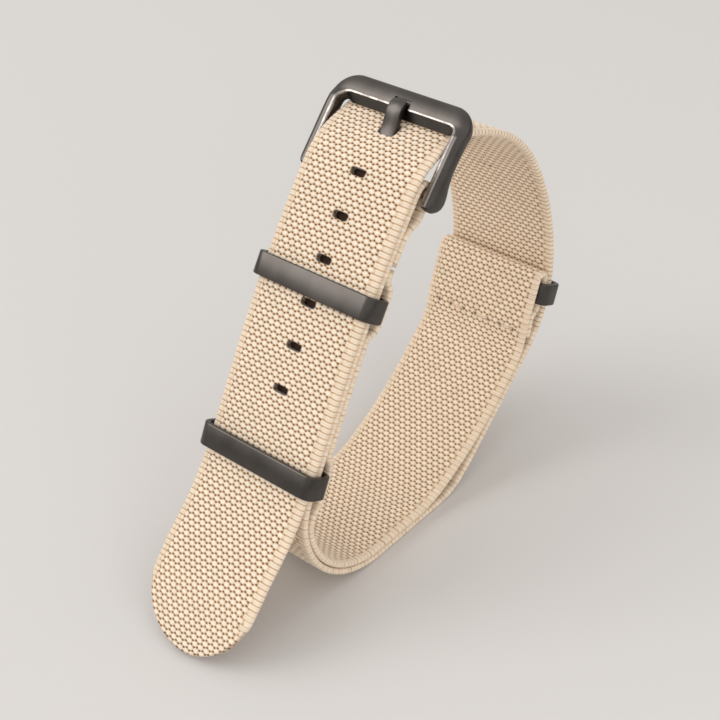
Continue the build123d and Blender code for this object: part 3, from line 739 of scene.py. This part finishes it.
# The blind holes of its eyes, and the notch that takes the tongue
bm = bmesh.new()
for side in (-1, 1):
    hole_middle = in_buckle(0, side * (PIVOT_HOLE_END - PIVOT_HOLE_DEPTH / 2), 0)
    bmesh.ops.create_cone(bm, cap_ends=True, segments=48, depth=PIVOT_HOLE_DEPTH,
                          radius1=PIVOT_HOLE_RADIUS, radius2=PIVOT_HOLE_RADIUS,
                          matrix=Matrix.Translation(hole_middle) @ Matrix.Rotation(math.pi / 2, 4, "X"))
notch = bmesh.ops.create_cube(bm, size=1)["verts"]
for vert in notch:
    vert.co = in_buckle(*[low + (side + 0.5) * (high - low)
                          for low, high, side in zip(NOTCH_LOW, NOTCH_HIGH, vert.co)])
bmesh.ops.recalc_face_normals(bm, faces=bm.faces)
cutter = place_mesh("buckle_cutter", bm)
cut = buckle.modifiers.new("holes_and_notch", "BOOLEAN")
cut.object = cutter
cut.operation = "DIFFERENCE"
cut.solver = "EXACT"
whole = bpy.data.meshes.new_from_object(buckle.evaluated_get(bpy.context.evaluated_depsgraph_get()))
buckle.modifiers.clear()
buckle.data = whole
bpy.data.objects.remove(cutter)
bm = bmesh.new()
bm.from_mesh(whole)
keep_sharp(bm, 30)
for face in bm.faces:
    face.smooth = True
bm.to_mesh(whole)
bm.free()

# The tongue: stamped from steel strip and plated like the frame, rolled into an eye round the barrel
# and bent down over the bar's edge.

TONGUE_WIDTH = 2.6
TONGUE_THICK = 0.9
TONGUE_BEVEL = 0.22
TONGUE_END = 1.1                     # length over which its tip is rounded
TONGUE_STEPS = 48
EYE_INNER = 0.8                      # radii of the rolled eye
EYE_OUTER = 1.45
EYE_BEVEL = 0.15
# Places along the arms from the pin and heights above them that the strip's middle passes through
tongue_line = np.array([(0.9, 0.56), (3.0, 0.3), (5.0, 0.14), (6.5, 0.2), (7.8, 0.52), (8.8, 0.86),
                        (9.6, 0.98), (10.3, 0.86), (10.8, 0.58), (11.2, 0.2)])
passed = np.concatenate([[0], np.cumsum(np.hypot(*(tongue_line[1:] - tongue_line[:-1]).T))])


def strip_point(share):
    """Place and slope of the strip's middle at a share of its length, its bends eased."""
    near = np.clip(share * passed[-1] + np.linspace(-0.7, 0.7, 9), 0, passed[-1])
    return [float(np.interp(near, passed, tongue_line[:, axis]).mean()) for axis in (0, 1)]


bm = bmesh.new()
rings = []
for step in range(TONGUE_STEPS + 1):
    share = step / TONGUE_STEPS
    along, off = strip_point(share)
    before, after = strip_point(max(share - 0.01, 0)), strip_point(min(share + 0.01, 1))
    slope = math.atan2(after[1] - before[1], after[0] - before[0])
    left = (1 - share) * passed[-1]
    width = TONGUE_WIDTH / 2 * math.sqrt(max(1 - max(1 - left / TONGUE_END, 0) ** 3, 0.02))
    half = TONGUE_THICK / 2
    bevel = TONGUE_BEVEL
    outline = [(-width + bevel, half), (width - bevel, half), (width - 0.3 * bevel, half - 0.3 * bevel),
               (width, half - bevel), (width, bevel - half), (width - 0.3 * bevel, 0.3 * bevel - half),
               (width - bevel, -half), (bevel - width, -half), (0.3 * bevel - width, 0.3 * bevel - half),
               (-width, bevel - half), (-width, half - bevel), (0.3 * bevel - width, half - 0.3 * bevel)]
    ring = [in_buckle(along - rise * math.sin(slope), across, off + rise * math.cos(slope))
            for across, rise in outline]
    rings.append([bm.verts.new(point) for point in ring])
for before, after in zip(rings, rings[1:]):
    for index in range(len(before)):
        other = (index + 1) % len(before)
        bm.faces.new((before[index], before[other], after[other], after[index]))
bm.faces.new(rings[0])
bm.faces.new(rings[-1])
half = TONGUE_WIDTH / 2
profile = [(-half, EYE_INNER), (half, EYE_INNER), (half, EYE_OUTER - EYE_BEVEL),
           (half - EYE_BEVEL, EYE_OUTER), (EYE_BEVEL - half, EYE_OUTER), (-half, EYE_OUTER - EYE_BEVEL)]
eye_verts = [bm.verts.new(in_buckle(0, across, radius)) for across, radius in profile]
eye_edges = [bm.edges.new((vert, eye_verts[(index + 1) % len(eye_verts)]))
             for index, vert in enumerate(eye_verts)]
bmesh.ops.spin(bm, geom=eye_verts + eye_edges, cent=PIN, axis=(0, 1, 0), angle=2 * math.pi, steps=48,
               use_merge=True)
bmesh.ops.remove_doubles(bm, verts=bm.verts, dist=1e-4)
bmesh.ops.recalc_face_normals(bm, faces=bm.faces)
keep_sharp(bm, 30)
tongue = place_mesh("buckle_tongue_bent", bm, "tongue", ("buckle_tongue",))
tongue.data.materials.append(gunmetal)

# The spring bar: a turned stainless barrel with two pins in it, which a coil spring pushes out into the
# arms' eyes. Only the coil is rebuilt here; the turned pieces are the CAD's.

steel, shader, tree = new_finish("turned_stainless_steel", "#A9A6A2", 0.3, 1.0)
turned_place = add_node(tree, "ShaderNodeTexCoord")
turned_chart = add_node(tree, "ShaderNodeMapping", {"Scale": (300, 9000, 300)},
                        {"Vector": turned_place.outputs["Object"]})
turning = add_node(tree, "ShaderNodeTexNoise", {"Scale": 1.0, "Detail": 1.0},
                   {"Vector": turned_chart.outputs["Vector"]})
turned_range = add_node(tree, "ShaderNodeMapRange", {"To Min": 0.22, "To Max": 0.42},
                        {"Value": turning.outputs["Fac"]})
tree.links.new(turned_range.outputs["Result"], shader.inputs["Roughness"])
bump = add_node(tree, "ShaderNodeBump", {"Strength": 0.1, "Distance": 0.00001},
                {"Height": turning.outputs["Fac"]})
tree.links.new(bump.outputs["Normal"], shader.inputs["Normal"])
for node in ("spring_bar_barrel", "spring_bar_plunger_near", "spring_bar_plunger_far"):
    cad_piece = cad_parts[node]
    cad_piece.data.materials.clear()
    cad_piece.data.materials.append(steel)

COIL_RADIUS = 0.36
COIL_WIRE = 0.08                     # the wire's radius
HALF_TURNS = 13                      # turns in each half
TURN_STEPS = 20
low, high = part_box("spring_bar_spring")
half_coil = (high.y - low.y) / MM / 2 - COIL_WIRE
coil_steps = HALF_TURNS * TURN_STEPS
# Each half of the coil runs from the middle out towards its own plunger
for side, end in ((-1, "near"), (1, "far")):
    bm = bmesh.new()
    bmesh.ops.create_circle(bm, cap_ends=False, segments=8, radius=COIL_WIRE,
                            matrix=Matrix.Translation((PIN.x + COIL_RADIUS, 0, PIN.z)))
    bmesh.ops.spin(bm, geom=bm.verts[:] + bm.edges[:], cent=PIN, axis=(0, 1, 0),
                   dvec=(0, side * half_coil / coil_steps, 0), angle=2 * math.pi * HALF_TURNS,
                   steps=coil_steps)
    bmesh.ops.holes_fill(bm, edges=[e for e in bm.edges if e.is_boundary], sides=0)
    bmesh.ops.recalc_face_normals(bm, faces=bm.faces)
    coil = place_mesh(f"spring_bar_coil_{end}", bm, "barrel", ("spring_bar_spring",))
    coil.data.materials.append(steel)
    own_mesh(coil)

# The three keepers: flat steel wire, bent into a rounded ring, tumbled and plated like the buckle. Two hold
# the tail at the front, and the third holds the short strap to the long one at the back.

RING_OUTSIDE = (22.4, 4.7, 3.5)      # across the strap, through it, and along it
RING_WIRE = 0.8
RING_CORNER = 1.7
RING_EDGE = 0.2
UPPER_PLACE = (56.4, 1.3)            # along the long strap, and how far its middle lies inside that
LOWER_PLACE = (30.1, 1.05)
LOWER_TURN = math.radians(3.2)       # it sits a little askew
END_BAR = (34.8006, 26.1508)         # x and z of the bar in the short strap's fold
END_HEADING = math.radians(-114.913)


def keeper(name, node, middle, heading):
    """One ring about its middle, given as x and z, with its wire's width along that heading."""
    ring = bmesh.new()
    bmesh.ops.create_cube(ring, size=1)
    bmesh.ops.scale(ring, vec=RING_OUTSIDE, verts=ring.verts)
    corners = [e for e in ring.edges if abs(e.verts[0].co.z - e.verts[1].co.z) > 1]
    bmesh.ops.bevel(ring, geom=corners, offset=RING_CORNER, segments=12, profile=0.5, affect="EDGES",
                    material=-1)
    ends = [f for f in ring.faces if abs(f.normal.z) > 0.9]
    bmesh.ops.delete(ring, geom=ends, context="FACES_ONLY")
    bmesh.ops.solidify(ring, geom=ring.faces[:], thickness=RING_WIRE)
    bmesh.ops.recalc_face_normals(ring, faces=ring.faces)
    rims = [e for e in ring.edges if len(e.link_faces) == 2 and e.calc_face_angle(0) > math.radians(60)]
    bmesh.ops.bevel(ring, geom=rims, offset=RING_EDGE, segments=3, profile=0.5, affect="EDGES", material=-1)
    way = Vector((math.cos(heading), 0, math.sin(heading)))
    side = Vector((0, 1, 0))
    turn = Matrix((side, way.cross(side), way)).transposed()
    placed = Matrix.Translation((middle[0], 0, middle[1])) @ turn.to_4x4()
    bmesh.ops.transform(ring, matrix=placed, verts=ring.verts)
    keep_sharp(ring, 35)
    piece = place_mesh(name, ring, node, (node,))
    piece.data.materials.append(gunmetal)


def beside_lane(along, depth):
    """A point beside the long strap's lane, and the lane's heading there."""
    x, up, heading = (float(value) for value in lane_at(LONG_START, LONG_SPANS, along))
    return (x + depth * math.sin(heading), up - depth * math.cos(heading)), heading


upper_middle, upper_heading = beside_lane(*UPPER_PLACE)
lower_middle, lower_heading = beside_lane(*LOWER_PLACE)
bar_to_middle = (RING_OUTSIDE[1] - RING_WIRE) / 2
end_middle = (END_BAR[0] - bar_to_middle * math.sin(END_HEADING),
              END_BAR[1] + bar_to_middle * math.cos(END_HEADING))
keeper("keeper_ring_upper", "keeper_upper", upper_middle, upper_heading)
keeper("keeper_ring_lower", "keeper_lower", lower_middle, lower_heading + LOWER_TURN)
keeper("keeper_ring_end", "keeper_end", end_middle, END_HEADING)
